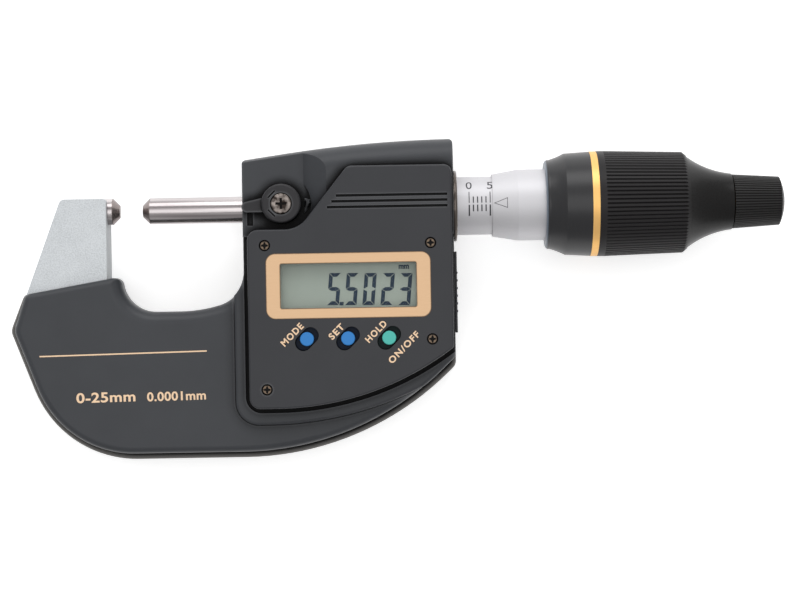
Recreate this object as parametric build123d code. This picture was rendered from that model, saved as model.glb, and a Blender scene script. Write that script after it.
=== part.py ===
from build123d import *

import math
import os

# A digital outside micrometer for 0 to 25 mm, lying on its back.
# The origin is the centre of the anvil's measuring face. +X runs along the spindle towards the
# thimble, +Y towards the top of the instrument as it is held, +Z out of the display.

# Measuring range and the gap it is drawn at
capacity = 25.0
gap = 5.5

# Clearances
running = 0.05
seat = 0.02
face_gap = 0.1
loose = 0.3

# Measuring faces and spindle
spindle_r = 6.35 / 2
tip_face_r = 1.5
tip_length = 1.8
anvil_stem = 8.6
spindle_rear = 50.0

# Heights of the main layers, front and back of the spindle axis
frame_half = 4.75
split_z = 0.5
rear_z = -13.0
cover_z = 7.0
base_z = 8.0
pedestal_z = 10.9
pedestal_edge_r = 0.8
face_z = 13.3
wall = 1.5

# Outline of the covers, seen from the front
rim = 1.75
rim_heel_share = 1.08
rim_shoulder_share = 0.7
rim_toe_share = 0.68
rim_side_share = 0.12
cover_edge_r = 1.6
foot_edge_r = 1.0
rear_throat_edge_r = 1.2
arm_slant = 0.172
lip_x = 0.4
lip_y = -15.7
lip_r = 1.8
shoulder_x = -23.6
shoulder_r = 1.8
heel_x = -27.0
heel_y = -28.3
heel_r = 3.0
toe_x = -14.9
bottom_y = -59.65
toe_r = 26.5
belly_start_x = 29.5
belly_end_x = 78.18
belly_r = 70.5
side_x = 80.2
side_r = 2.5
top_right_y = 15.85
crown_x = 58.5
crown_y = 15.5
crown_r = 300.0
top_left_y = 11.5
top_r = 1.2
throat_x = 29.9
throat_r = 8.4
throat_bend_x = 19.2
throat_floor_y = -24.2
throat_angle = 16.0
throat_bend_r = 34.0
throat_left_r = 7.9
throat_lean = 1.4
throat_round = 3.0
rear_throat_step = 1.5

# Cast frame
arm_top_y = 3.0
arm_left_x = -13.8
arm_face_x = -2.95
arm_left_slope = 0.37
arm_grow_share = 1.1
arm_heel_rise = 0.4
frame_corner_r = 1.5
arm_face_r = 0.8
column_root_r = 4.5
column_end_r = 1.0
frame_foot_r = 3.0
bow_inner_y = -27.3
bow_inner_r = 8.0
bow_wall = 2.3
bow_angle = 34.0
column_x = 32.2
column_end_x = side_x - 1.3
column_half = 8.6
column_foot_x = 76.0
barrel_r = 6.6
hub_r = 9.2
hub_x = 66.0
window_x0 = 37.0
window_x1 = 69.0
window_y0 = -43.0
window_y1 = -13.0

# Display housing and its cover
housing_x = 27.5
housing_y = -51.6
housing_r = 5.6
housing_arc_x = 36.0
housing_arc_end_x = 80.15
housing_arc_r = 80.0
shoulder_face_x = 44.5
shoulder_top_x = 50.0
top_round = 5.5
panel_x0 = 31.2
panel_x1 = 79.5
panel_y0 = -47.5
panel_y1 = -5.3
panel_top = 9.4
panel_r = 2.6
panel_arc_x = 38.0
panel_arc_end_x = 78.46
panel_arc_r = 69.0
panel_slant = 0.797
panel_neck_x = 43.3
panel_neck_r = 6.5
panel_crest_r = 2.2
panel_edge = 0.5
groove_width = 1.2
groove_depth = 0.8

# Window, bezel and liquid crystal panel
bezel_w = 38.8
bezel_h = 15.4
bezel_r = 2.2
bezel_t = 0.75
window_w = 32.0
window_corner_r = 0.6
window_h = 10.5
window_frame = 0.8
window_corner = 0.3
glass_t = 0.9
screen_x = 54.9
screen_y = -18.7
lcd_w = 36.0
lcd_h = 13.6
lcd_t = 1.9
board_t = 1.2
strip_w = 1.4
strip_in = 0.4
lcd_gap = 0.9
board_foot_y = -37.3
board_side = 6.7
board_step = 3.0
bay_wall = 0.85

# Push buttons, in leaning slots
button_x = 44.93
button_y = -31.2
button_pitch = 9.67
button_r = 1.65
key_edge_r = 0.25
slot_length = 6.3
slot_width = 3.9
slot_angle = 45
button_travel = 0.6
button_flange = 0.5
flange_t = 0.8
button_sink = 0.15
button_foot_rise = 0.7
dome_r = 2.2
dome_top_r = 1.2

# Grooves across the display cover
panel_lean_share = 0.45
panel_corner_r = 1.8
panel_groove_y = 2.7
panel_groove_pitch = 1.35
panel_groove_count = 3
panel_groove_w = 0.6
panel_groove_end_x = 78.5
panel_groove_in = 2.6
panel_groove_deep = 0.4

# Small screws
screw_places = ((35.33, -9.06), (74.35, -9.0), (74.45, -31.64), (35.38, -42.95))
screw_head_r = 1.05
screw_head_t = 0.8
screw_shank_r = 0.7
screw_sink = 0.25
screw_reach = 7.0
small_slot = 1.45
small_slot_w = 0.36
small_slot_deep = 0.5
rear_places = ((-16.0, -31.5), (6.0, -51.0), (33.6, -49.0), (72.6, -24.0), (56.0, 12.1))
boss_r = 2.2
boss_land = 0.4
rear_head_r = 1.9
rear_head_t = 1.2
rear_shank_r = 0.95
rear_recess = 0.5
rear_slot = 2.2
rear_slot_w = 0.5
rear_slot_deep = 0.6

# Spindle clamp
clamp_x = 39.3
clamp_y = 0.8
clamp_hub_r = 4.7
clamp_reach = 8.1
clamp_tip_r = 1.25
clamp_tip_y = 0.15
clamp_root = 4.5
clamp_root_y = 2.2
clamp_round = 0.6
clamp_low = base_z + loose
clamp_high = clamp_low + 3.9
clamp_arm_drop = 0.7
clamp_mark = 2.4
clamp_mark_w = 0.35
clamp_mark_deep = 0.4
clamp_mark_out = 3.15
clamp_drive_z = clamp_low + 1.7
clamp_seat_z = clamp_high - 1.2
clamp_stem_r = 2.0
clamp_drive = 3.0
clamp_pad_r = 1.7
clamp_head_r = 2.5
clamp_head_round = 0.4
clamp_pocket_r = 7.0
clamp_notch_x = 31.0
clamp_notch_w = 1.4
clamp_notch_y = -4.15
clamp_notch_deep = 0.6
ridge_corners = ((44.7, 2.2), (46.1, 1.8), (46.5, 1.0), (44.7, -1.4))
ridge_h = 1.3
ridge_edge = 0.5
clamp_slot = 2.6
clamp_slot_w = 0.6
clamp_slot_deep = 0.9

# Bush, seal and encoder along the axis; the chamber starts where the spindle ends its travel
seal_x = throat_x + 0.2
seal_length = 1.4
bush_end_x = 46.0
bush_r = 4.5
passage_r = 3.6
chamber_r = 7.5
chamber_x = spindle_rear + capacity - gap + face_gap
stator_t = 1.2
encoder_gap = 0.6
rotor_x = chamber_x + stator_t + encoder_gap
rotor_t = 1.6
rotor_hub_r = 4.5
journal_r = 3.0
bearing_x = rotor_x + rotor_t + face_gap
bearing_t = 1.4

# Sleeve and pointer sleeve; the pointer's edge stands at zero_x when the faces meet
zero_x = 83.9
flange_r = 8.55
flange_x = side_x + 0.75
flange_edge_r = 0.4
sleeve_r = 13.95 / 2
sleeve_bore_r = 5.55
sleeve_x = bearing_x + bearing_t + face_gap
sleeve_end_x = 118.0
pointer_x = zero_x + gap
pointer_edge_r = 7.5
pointer_cone = 6.1
pointer_r = 8.55
pointer_shoulder_r = 9.6
pointer_shoulder = 2.1

# Lead screw and nut
thread_r = 4.0
thread_x = bearing_x + bearing_t + gap + loose
thread_lead_in = 1.0
relief_r = 3.7
relief_step = 0.5
nut_x = thread_x + capacity - gap
adjuster_length = 4.0
adjuster_r = sleeve_bore_r - 0.6
nut_slit = 0.6
nut_slit_length = 12.0
notch_w = 1.6
notch_depth = 1.0
notch_length = 2.0
key_w = 1.2
key_depth = 0.8
nose_r = 1.95
nose_depth = 5.0

# Thimble, from the pointer sleeve back
pointer_shown = 12.7
collar_x = pointer_x + pointer_shown
collar_lip = 1.0
collar_lip_r = 10.7
collar_lip_drop = 0.7
collar_lip_share = 0.25
collar_lip_bow = 3.5
collar_cove = 4.7
collar_scoop = 1.8
collar_cove_x = collar_x + collar_cove
collar_cove_r = 12.2
collar_cove_sag = 0.65
collar_length = 10.75
ring_x = collar_x + collar_length
ring_r = 12.6
ring_length = 1.65
spigot_r = 10.6
pointer_end_x = ring_x - loose - face_gap
grip_r = 12.65
grip_end_r = 12.1
grip_lip = 1.7
rib_count = 80
rib_depth = 0.35
ribs_x = ring_x + ring_length + grip_lip
rib_length = 18.9
grip_shoulder_x = ribs_x + rib_length
flare_x = grip_shoulder_x + 0.9
flare_r = 11.4
flare_step = 0.2
flare_length = 11.0
flare_mid_x = flare_x + 4.1
flare_mid_r = 8.7
grip_end_x = flare_x + flare_length
grip_nose_r = 6.75
grip_bore_r = 10.0
hub_disc_x = sleeve_end_x + adjuster_length + gap + 1.0
hub_disc_t = 5.5
hub_nose_r = 5.2
screw_seat = 10.1
screw_rear_x = hub_disc_x + screw_seat
screw_bore_r = 1.6
screw_bore_in = 1.0

# Speeder with its friction clutch
speeder_x = grip_end_x + loose
speeder_length = 11.2
speeder_end_x = speeder_x + speeder_length
speeder_r = 6.5
speeder_end_r = 5.82
speeder_rib_count = 60
speeder_rib_depth = 0.25
cap_plug = 0.7
cap_step = 0.1
cap_rise = 1.3
axle_r = 2.0
axle_head_r = 3.3
axle_head_x = speeder_end_x - 3.2
axle_head_t = 2.0
axle_slot = 0.8
disc_x = grip_end_x + 2 * face_gap
disc_t = 1.1
disc_r = 4.0
washer_t = 0.3
washer_cup = 0.25
washer_pitch = 0.95
washer_x = disc_x + disc_t + face_gap
well_x = washer_x + 2 * washer_pitch + face_gap

# Slide over the output socket on the right side
slide_y0 = -30.4
slide_y1 = -11.0
slide_half = 5.0
slide_t = 0.4
slide_travel = 5.0
slide_corner = 0.8
slide_wall = 1.1
slide_back_t = 0.9
slide_rib_y = -16.1
slide_rib_pitch = 1.83
slide_rib_count = 6
slide_rib_r = 0.45
slide_rib_rise = 0.2
slide_rib_in = 1.0
foot_length = 8.0
foot_half = 1.4
foot_y1 = -16.7
socket_y1 = -11.7
socket_h = 3.6
socket_half = 4.2
socket_depth = 3.0
socket_well = 2.0
socket_wall = 0.8

# Battery and its cap, set in the back
battery_x = 54.5
battery_y = -28.5
battery_r = 5.8
battery_t = 5.4
battery_step = 0.6
battery_step_in = 1.0
cap_r = 8.0
cap_recess = 0.4
cap_t = 1.4
cap_neck_r = 6.5
cap_neck_t = 1.9
cap_edge = 0.3
cap_groove = 0.9
cap_groove_in = 0.6
lug_r = 7.6
lug_w = 3.0
lug_t = 0.9
unlock_angle = 60
coin_w = 1.4
coin_length = 10.0
coin_depth = 0.8
cup_wall = 1.4
contact_t = 0.3
contact_half = 8.0
contact_w = 4.0
lead_w = 1.2
lead_x = battery_x + 4.0


def rounded(*corners):
    """A flat face with straight sides; each corner is x, y and the radius that rounds it."""
    points = [(x, y) for x, y, _ in corners]
    radii = [r for _, _, r in corners]
    return make_face(FilletPolyline(*points, radius=radii, close=True))


def slab(face, z0, z1):
    """The face as a plate from height z0 to z1."""
    return extrude(Pos(0, 0, z0) * face, z1 - z0)


def block(x0, x1, y0, y1, z0, z1):
    return Pos(x0, y0, z0) * Box(x1 - x0, y1 - y0, z1 - z0, align=(Align.MIN,) * 3)


def post(x, y, z0, z1, r):
    upright = (Align.CENTER, Align.CENTER, Align.MIN)
    return Pos(x, y, z0) * Cylinder(r, z1 - z0, align=upright)


def rod(x0, x1, r):
    upright = (Align.CENTER, Align.CENTER, Align.MIN)
    return Pos(x0, 0, 0) * Rot(0, 90, 0) * Cylinder(r, x1 - x0, align=upright)


def tube(x0, x1, r, bore):
    return rod(x0, x1, r) - rod(x0, x1, bore)


def turned(*points):
    """A solid turned about the spindle axis, from points of x and radius."""
    return revolve(make_face(Polyline(*points, close=True)), Axis.X)


def capsule(x, y, length, width, angle, z0, z1):
    """An upright round-ended bar."""
    face = Pos(x, y) * Rot(0, 0, angle) * SlotOverall(length, width)
    return slab(face, z0, z1)


def cross(x, y, length, width, z0, z1):
    """The hollow of a cross slot in a screw's head."""
    wide = block(x - length / 2, x + length / 2, y - width / 2, y + width / 2, z0, z1)
    return wide + block(x - width / 2, x + width / 2, y - length / 2, y + length / 2, z0, z1)


def arc_angle(start_x, end_x, radius):
    """The angle that an arc turns through, from flat at start_x to end_x."""
    return math.degrees(math.asin((end_x - start_x) / radius))


def corner_x(start_x, radius, angle):
    """Where the two straight runs beside an arc would meet, from where the arc starts."""
    return start_x + radius * math.tan(math.radians(angle / 2))


def slope_y(x0, y0, angle, x):
    return y0 + (x - x0) * math.tan(math.radians(angle))


def body_outline(inset, throat_step, corner_r=top_r):
    """Outline of a cover: inset at the heel, toe and belly, stepped back in the throat."""
    left_x = lip_x - throat_step
    floor_y = throat_floor_y - throat_step
    heel_in = rim_heel_share * inset
    belly_angle = arc_angle(belly_start_x, belly_end_x, belly_r)
    belly_x = corner_x(belly_start_x, belly_r - inset, belly_angle)
    shoulder = shoulder_x + rim_shoulder_share * inset
    right_x = side_x - rim_side_share * inset
    return rounded(
        (left_x, lip_y, lip_r),
        (shoulder, lip_y - arm_slant * (left_x - shoulder), shoulder_r),
        (heel_x + heel_in, heel_y, heel_r),
        (toe_x + rim_toe_share * inset, bottom_y + inset, toe_r - inset),
        (belly_x, bottom_y + inset, belly_r - inset),
        (right_x, slope_y(belly_x, bottom_y + inset, belly_angle, right_x), side_r),
        (right_x, top_right_y, corner_r),
        (crown_x, crown_y, crown_r),
        (throat_x, top_left_y, corner_r),
        (throat_x, slope_y(throat_bend_x, floor_y, throat_angle, throat_x), throat_r),
        (throat_bend_x, floor_y, throat_bend_r),
        (left_x + throat_lean, floor_y, throat_left_r),
    )


def frame_outline(grow):
    """Outline of the cast frame, or of the pocket that clears it by grow."""
    arm_x = arm_left_x - arm_grow_share * grow
    face_x = arm_face_x + grow
    heel_rise_y = heel_y + arm_heel_rise
    slope_x = arm_x + arm_left_slope * (heel_rise_y - arm_top_y)
    foot_y = bottom_y + bow_wall - grow
    belly_x = corner_x(belly_start_x, belly_r - bow_wall + grow, bow_angle)
    foot_x = column_foot_x + grow
    return rounded(
        (arm_x, arm_top_y + grow, frame_corner_r),
        (face_x, arm_top_y + grow, arm_face_r),
        (face_x, bow_inner_y + grow, bow_inner_r),
        (column_x - grow, bow_inner_y + grow, column_root_r),
        (column_x - grow, column_half + grow, frame_corner_r),
        (column_end_x + grow, column_half + grow, column_end_r),
        (column_end_x + grow, -column_half - grow, column_end_r),
        (foot_x, -column_half - grow, column_end_r),
        (foot_x, slope_y(belly_x, foot_y, bow_angle, foot_x), frame_foot_r),
        (belly_x, foot_y, belly_r - bow_wall + grow),
        (toe_x + rim_toe_share * (bow_wall - grow), foot_y, toe_r - bow_wall + grow),
        (slope_x, heel_rise_y, frame_foot_r),
    )


def housing_outline(grow):
    """Footprint of the display housing over the bow."""
    foot_y = housing_y - grow
    arc = arc_angle(housing_arc_x, housing_arc_end_x, housing_arc_r)
    arc_x = corner_x(housing_arc_x, housing_arc_r + grow, arc)
    right_x = side_x + rim
    return rounded(
        (housing_x - grow, top_right_y + rim, 0.5),
        (housing_x - grow, foot_y, housing_r + grow),
        (arc_x, foot_y, housing_arc_r + grow),
        (right_x, slope_y(arc_x, foot_y, arc, right_x), 0.5),
        (right_x, top_right_y + rim, 0.5),
    )


def panel_outline(grow):
    """Outline of the display cover: a long foot and a neck that leans up beside the clamp."""
    foot_y = panel_y0 - grow
    arc = arc_angle(panel_arc_x, panel_arc_end_x, panel_arc_r)
    arc_x = corner_x(panel_arc_x, panel_arc_r + grow, arc)
    right_x = panel_x1 + grow
    crest_x = panel_neck_x + panel_slant * (panel_top - panel_y1)
    lean = panel_lean_share * grow
    return rounded(
        (panel_x0 - grow, panel_y1 + grow, panel_r + grow),
        (panel_x0 - grow, foot_y, panel_r + grow),
        (arc_x, foot_y, panel_arc_r + grow),
        (right_x, slope_y(arc_x, foot_y, arc, right_x), 1.0),
        (right_x, panel_top + grow, panel_corner_r),
        (crest_x - lean, panel_top + grow, panel_crest_r + grow),
        (panel_neck_x - lean, panel_y1 + grow, panel_neck_r - grow),
    )


def axis_room():
    """The room inside the covers for the frame's barrel, encoder hub and what passes the walls."""
    room = rod(column_x - loose, hub_x + loose, barrel_r + 2 * face_gap)
    room += rod(hub_x - loose, column_end_x + loose, hub_r + 2 * face_gap)
    room += rod(seal_x - 2 * loose, column_x, bush_r + face_gap)
    room += rod(column_end_x, side_x + rim, chamber_r + face_gap)
    return room


def frame_room():
    """The pocket inside the covers that the cast frame lies in."""
    clear = 2 * face_gap
    return slab(frame_outline(clear), -frame_half - clear, frame_half + clear) + axis_room()


def side_room():
    """Openings in the right wall for the output socket and for the foot of its slide."""
    room = block(
        column_foot_x + loose, side_x + rim,
        socket_y1 - socket_h - 2 * seat, socket_y1 + 2 * seat,
        -socket_half - seat, socket_half + seat,
    )
    room += block(
        column_foot_x + loose, side_x + rim,
        foot_y1 - foot_length - slide_travel - loose, foot_y1 + loose,
        -foot_half - face_gap, foot_half + face_gap,
    )
    room += block(
        column_foot_x + loose, side_x - slide_wall,
        foot_y1 - foot_length - slide_travel - loose, foot_y1 + loose,
        -2 * foot_half - face_gap, 2 * foot_half + face_gap,
    )
    return room


def frame():
    """The cast C frame: arm, bow, and a column with the barrel that carries the spindle."""
    cast = slab(frame_outline(0), -frame_half, frame_half)
    cast += rod(column_x, hub_x, barrel_r)
    cast += rod(hub_x, column_end_x, hub_r)
    cast -= block(window_x0, window_x1, window_y0, window_y1, -frame_half, frame_half)
    cast -= rod(arm_face_x - anvil_stem + tip_length - loose, arm_face_x + loose, spindle_r + seat)
    cast -= rod(column_x - loose, bush_end_x, bush_r + seat)
    cast -= rod(bush_end_x, chamber_x, passage_r)
    cast -= rod(chamber_x, column_end_x + loose, chamber_r + seat)
    cast -= post(clamp_x, clamp_y, 0, barrel_r + wall, clamp_stem_r + running)
    for x, y in rear_places:
        cast -= post(x, y, -frame_half, frame_half, boss_r + 2 * face_gap)
    return cast


def tip(face_x, side):
    """A carbide tip with its chamfer, standing back from its face towards side."""
    return turned(
        (face_x, 0), (face_x, tip_face_r), (face_x + side * (spindle_r - tip_face_r), spindle_r),
        (face_x + side * tip_length, spindle_r), (face_x + side * tip_length, 0),
    )


def anvil():
    return rod(arm_face_x - anvil_stem + tip_length, -tip_length, spindle_r)


def spindle():
    """The ground spindle, with a blind bore at its rear for the ball and the screw's nose."""
    bar = rod(gap + tip_length, spindle_rear, spindle_r)
    return bar - rod(spindle_rear - nose_depth, spindle_rear, nose_r + running)


def thrust_ball():
    return Pos(spindle_rear - nose_depth + nose_r + running / 2, 0, 0) * Sphere(nose_r)


def spindle_bush():
    """The bearing bush, with a cross hole for the clamp pad."""
    bush = tube(seal_x + seal_length, bush_end_x, bush_r, spindle_r + running)
    return bush - post(clamp_x, clamp_y, 0, bush_r + wall, clamp_pad_r + running)


def spindle_seal():
    return tube(seal_x, seal_x + seal_length, bush_r, spindle_r + running)


def clamp_pad():
    """A short pin that the clamp stem presses on the spindle."""
    return post(clamp_x, clamp_y, spindle_r + face_gap, bush_r, clamp_pad_r)


def clamp_stem():
    """A threaded stem with a square top that the lever turns."""
    low = bush_r + face_gap
    stem = post(clamp_x, clamp_y, low, clamp_low, clamp_stem_r)
    half = clamp_drive / 2
    stem += block(clamp_x - half, clamp_x + half, clamp_y - half, clamp_y + half, clamp_low, clamp_drive_z)
    return stem - post(clamp_x, clamp_y, low + wall, clamp_drive_z, screw_shank_r + seat)


def clamp_lever():
    """The moulded lever: a round boss and an arm that narrows to a round end."""
    boss = post(clamp_x, clamp_y, clamp_low, clamp_high, clamp_hub_r)
    boss = fillet(boss.edges().filter_by(GeomType.CIRCLE).group_by(Axis.Z)[-1], clamp_round)
    tip_x = clamp_x - clamp_reach
    root_x = clamp_x - clamp_root
    low_y = clamp_tip_y - clamp_tip_r
    arm_z = clamp_high - clamp_arm_drop
    outline = make_face(
        Polyline(
            (tip_x, clamp_tip_y + clamp_tip_r), (root_x, clamp_root_y), (clamp_x, clamp_root_y),
            (clamp_x, low_y), (tip_x, low_y), close=True,
        )
    )
    arm = slab(outline, clamp_low, arm_z) + post(tip_x, clamp_tip_y, clamp_low, arm_z, clamp_tip_r)
    lever = boss + arm
    for angle in (135, 225):
        mark = Box(clamp_mark, clamp_mark_w, 2 * clamp_mark_deep)
        place = Pos(clamp_x, clamp_y, clamp_high) * Rot(0, 0, angle) * Pos(clamp_mark_out, 0, 0)
        lever -= place * Rot(0, 0, 90) * mark
    lever -= post(clamp_x, clamp_y, clamp_seat_z, clamp_high, clamp_head_r + face_gap)
    half = clamp_drive / 2 + seat
    lever -= block(clamp_x - half, clamp_x + half, clamp_y - half, clamp_y + half, clamp_low, clamp_drive_z)
    return lever - post(clamp_x, clamp_y, clamp_drive_z, clamp_high, screw_shank_r + running)


def clamp_screw():
    """A cross-slotted screw that holds the lever on its stem."""
    top = clamp_high + face_gap
    head = post(clamp_x, clamp_y, clamp_seat_z, top, clamp_head_r)
    head = fillet(head.edges().filter_by(GeomType.CIRCLE).group_by(Axis.Z)[-1], clamp_head_round)
    screw = head + post(clamp_x, clamp_y, bush_r + face_gap + wall + loose, clamp_seat_z, screw_shank_r)
    return screw - cross(clamp_x, clamp_y, clamp_slot, clamp_slot_w, top - clamp_slot_deep, top)


def cover_blank(inset, throat_step, z0, z1, edge_r, edge_z):
    """A cover's outside, with the edge at its outer face rounded."""
    blank = slab(body_outline(inset, throat_step), z0, z1)
    rims = blank.edges().filter_by(lambda e: abs(e.center().Z - edge_z) < 0.01)
    return fillet(rims, edge_r)


def throat_blank(z0, z1):
    """A slab that clears the cover all round but in the throat, where its front edge is well rounded."""
    clear = 2 * throat_round
    top_y = top_right_y + clear
    lean = throat_lean / (throat_floor_y - lip_y)
    face = rounded(
        (lip_x + lean * (top_y - lip_y), top_y, clear),
        (lip_x + throat_lean, throat_floor_y, throat_left_r),
        (throat_bend_x, throat_floor_y, throat_bend_r),
        (throat_x, slope_y(throat_bend_x, throat_floor_y, throat_angle, throat_x), throat_r),
        (throat_x, top_y, clear),
        (side_x + clear, top_y, clear),
        (side_x + clear, bottom_y - clear, clear),
        (heel_x - clear, bottom_y - clear, clear),
        (heel_x - clear, top_y, clear),
    )
    blank = slab(face, z0, z1)
    rims = blank.edges().filter_by(lambda e: abs(e.center().Z - z1) < 0.01)
    return fillet(rims, throat_round)


def front_cover():
    """The moulded front over the bow, up to the display housing."""
    shell = cover_blank(rim, 0, split_z, cover_z, cover_edge_r, cover_z)
    shell &= throat_blank(split_z, cover_z)
    for x, y in rear_places[:2]:
        shell += post(x, y, split_z, frame_half + wall, boss_r)
    shell -= slab(housing_outline(face_gap), split_z, cover_z)
    pocket = frame_room()
    for x, y in rear_places[:2]:
        pocket -= post(x, y, split_z, cover_z, boss_r)
    shell -= pocket
    for x, y in rear_places[:2]:
        shell -= post(x, y, split_z, frame_half, rear_shank_r + seat)
    return shell


def clamp_notch():
    """The shallow notch below the lever's tip, along the way that the tip swings."""
    x1 = clamp_notch_x + clamp_notch_w
    return block(clamp_notch_x, x1, clamp_notch_y, clamp_tip_y, base_z - clamp_notch_deep, base_z)


def clamp_ridge():
    """The low three-sided ridge between the lever's hub and the display cover's neck."""
    ridge = slab(make_face(Polyline(*ridge_corners, close=True)), frame_half + wall, base_z + ridge_h)
    return chamfer(ridge.edges().group_by(Axis.Z)[-1], ridge_edge)


def display_housing():
    """The moulded housing: base, raised top behind the clamp, and the pedestal of the display."""
    foot = slab(housing_outline(0), split_z, base_z)
    foot = fillet(foot.edges().group_by(Axis.Z)[-1], pedestal_edge_r)
    foot &= cover_blank(rim, 0, split_z, base_z, foot_edge_r, base_z)
    foot &= block(0, side_x, bottom_y, panel_y1, split_z, base_z)
    top = slab(body_outline(rim, 0, 0), split_z, pedestal_z)
    top &= block(throat_x - wall, side_x + rim, panel_y1 - wall, top_right_y + rim, split_z, pedestal_z)
    crest = top.edges().group_by(Axis.Z)[-1].filter_by(lambda e: e.center().Y > top_left_y)
    top = fillet(crest, top_round) & slab(body_outline(rim, 0), split_z, pedestal_z)
    ramp = make_face(
        Polyline(
            (throat_x - wall, base_z), (shoulder_face_x, base_z), (shoulder_top_x, pedestal_z),
            (shoulder_top_x, pedestal_z + wall), (throat_x - wall, pedestal_z + wall), close=True,
        )
    )
    back_y = top_right_y + rim
    top -= extrude(Pos(0, back_y, 0) * Rot(90, 0, 0) * ramp, back_y - panel_y1 + 2 * wall)
    top -= post(clamp_x, clamp_y, base_z, pedestal_z + wall, clamp_pocket_r)
    body = foot + top + slab(panel_outline(0), split_z, pedestal_z) + clamp_ridge()
    body -= clamp_notch()
    moat = slab(panel_outline(groove_width), base_z - groove_depth, base_z + loose)
    moat -= slab(panel_outline(0), base_z - groove_depth, base_z + loose)
    moat -= block(throat_x - wall, side_x + rim, panel_y1 - wall, top_right_y + rim, split_z, pedestal_z)
    body -= moat
    body -= bay()
    pocket = frame_room()
    for x, y in rear_places[2:]:
        body += post(x, y, split_z, bay_floor(), boss_r)
        pocket -= post(x, y, split_z, bay_floor(), boss_r)
    body -= pocket
    for x, y in rear_places[2:]:
        body -= post(x, y, split_z, frame_half, rear_shank_r + seat)
    body -= side_room()
    body -= lead_slot(face_gap, split_z, base_z)
    body -= post(clamp_x, clamp_y, 0, pedestal_z, clamp_stem_r + loose)
    for x, y in screw_places:
        body -= post(x, y, screw_reach - loose, pedestal_z, screw_shank_r + seat)
    return body


def bay_floor():
    return frame_half + 2 * face_gap + bay_wall


def board_shape(grow, z0, z1):
    """The circuit board, or the hollow that clears it by grow: a wide top and a narrower foot."""
    half_w = bezel_w / 2 + wall - loose + grow
    top_y = screen_y + bezel_h / 2 - loose + grow
    step_y = button_y + board_step - grow
    side = board_side + grow
    foot_x1 = button_x + 2 * button_pitch + side
    plate = block(screen_x - half_w, screen_x + half_w, step_y, top_y, z0, z1)
    return plate + block(button_x - side, foot_x1, board_foot_y - grow, step_y, z0, z1)


def bay():
    """The hollow for the circuit board, the screen and the buttons."""
    return board_shape(loose, bay_floor(), pedestal_z)


def lead_slot(grow, z0, z1):
    """The upright lead from the battery's contact to the board, or its slot in the floor."""
    return block(lead_x - grow, lead_x + contact_t + grow, battery_y - lead_w / 2 - grow,
                 battery_y + lead_w / 2 + grow, z0, z1)


def screen_block(w, h, z0, z1, r):
    """A plate centred on the screen."""
    return slab(Pos(screen_x, screen_y) * RectangleRounded(w, h, r), z0, z1)


def display_cover():
    """The flat front plate, with its slots, sunk screw holes and three grooves."""
    plate = slab(panel_outline(0), pedestal_z, face_z)
    rims = plate.edges().filter_by(lambda e: abs(e.center().Z - face_z) < 0.01)
    plate = fillet(rims, panel_edge)
    plate -= screen_block(bezel_w + 2 * seat, bezel_h + 2 * seat, face_z - window_frame, face_z, bezel_r)
    plate -= screen_block(window_w + 2 * wall, window_h + wall, pedestal_z, face_z, window_corner_r)
    for i in range(3):
        x = button_x + i * button_pitch
        plate -= capsule(x, button_y, slot_length, slot_width, slot_angle, pedestal_z, face_z)
    for x, y in screw_places:
        plate -= post(x, y, face_z - screw_sink - screw_head_t, face_z, screw_head_r + loose)
        plate -= post(x, y, pedestal_z, face_z, screw_shank_r + face_gap)
    for i in range(panel_groove_count):
        y = panel_groove_y - i * panel_groove_pitch
        start = panel_neck_x + panel_slant * (y - panel_y1) + panel_groove_in
        plate -= block(start, panel_groove_end_x, y - panel_groove_w, y, face_z - panel_groove_deep, face_z)
    return plate


def display_bezel():
    """The gold plate round the screen."""
    z0 = face_z - window_frame
    plate = screen_block(bezel_w, bezel_h, z0, z0 + bezel_t, bezel_r)
    return plate - screen_block(window_w, window_h, z0, z0 + bezel_t, window_corner)


def display_window():
    z1 = face_z - window_frame
    width = window_w + 2 * (wall - face_gap)
    return screen_block(width, window_h + wall - 2 * face_gap, z1 - glass_t, z1, window_corner)


def lcd_top():
    return face_z - window_frame - glass_t - lcd_gap


def lcd_panel():
    return screen_block(lcd_w, lcd_h, lcd_top() - lcd_t, lcd_top(), window_corner)


def board_top():
    return bay_floor() + board_t


def lcd_strips():
    """Two rubber strips that join the screen to the board."""
    half_w = lcd_w / 2 - 2 * strip_in
    near = lcd_h / 2 - strip_in
    z1 = lcd_top() - lcd_t
    pieces = []
    for y0 in (screen_y - near, screen_y + near - strip_w):
        pieces.append(block(screen_x - half_w, screen_x + half_w, y0, y0 + strip_w, board_top(), z1))
    return Compound(children=pieces)


def circuit_board():
    return board_shape(0, bay_floor(), board_top())


def button_domes():
    """Snap domes on the board, one below each button."""
    height = button_low() - button_travel - face_gap - board_top()
    domes = []
    for i in range(3):
        dome = Cone(dome_r, dome_top_r, height, align=(Align.CENTER, Align.CENTER, Align.MIN))
        domes.append(Pos(button_x + i * button_pitch, button_y, board_top()) * dome)
    return Compound(children=domes)


def button_low():
    return pedestal_z - running - flange_t


def button(index):
    """A moulded key: a flange under the cover, a leaning foot in the slot and a round cap."""
    x = button_x + index * button_pitch
    low = button_low()
    step = low + flange_t
    grow = 2 * button_flange
    foot_z = pedestal_z + button_foot_rise
    key = capsule(x, button_y, slot_length + grow, slot_width + grow, slot_angle, low, step)
    key += capsule(x, button_y, slot_length - loose, slot_width - loose, slot_angle, step, foot_z)
    cap = post(x, button_y, low, face_z - button_sink, button_r)
    cap = fillet(cap.edges().filter_by(GeomType.CIRCLE).group_by(Axis.Z)[-1], key_edge_r)
    return key + cap


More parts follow.
